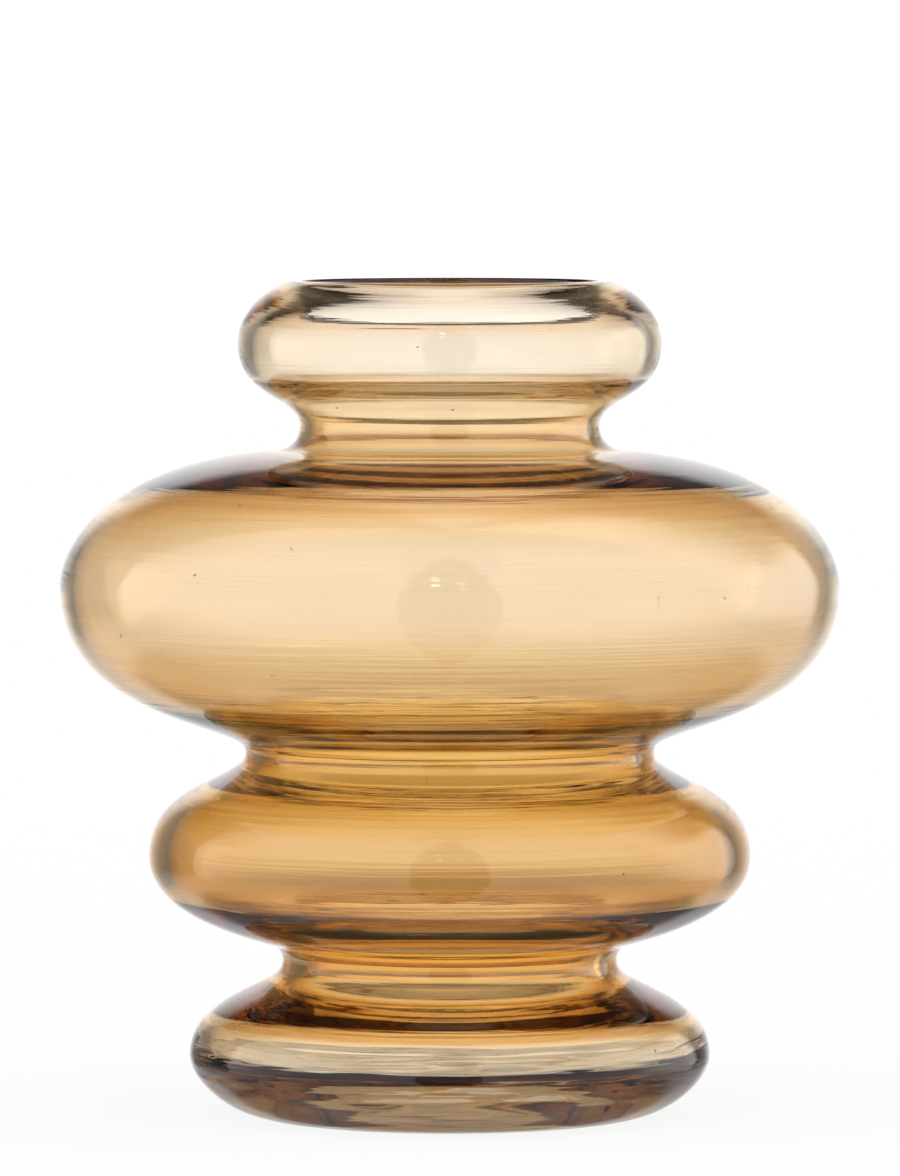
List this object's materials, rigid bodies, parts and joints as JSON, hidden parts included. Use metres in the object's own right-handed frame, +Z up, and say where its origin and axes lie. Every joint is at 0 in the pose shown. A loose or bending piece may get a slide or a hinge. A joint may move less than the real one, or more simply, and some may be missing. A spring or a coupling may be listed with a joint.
{
  "type": "vase",
  "caption": "Round blown-glass vase of stacked flattened bulbs with narrow necks between them, one continuous hollow and a cut rim, for holding flowers.",
  "frame": {"origin": "centre of the foot, on the surface that the vase stands on", "axes": "+Z up along the vase's axis, through the mouth; X and Y level, the same all round"},
  "size_m": [0.2054, 0.2054, 0.22],
  "materials": {
    "amber_glass": "clear glossy amber glass"
  },
  "bodies": {
    "root": {"vase_body": "amber_glass"}
  },
  "joints": []
}
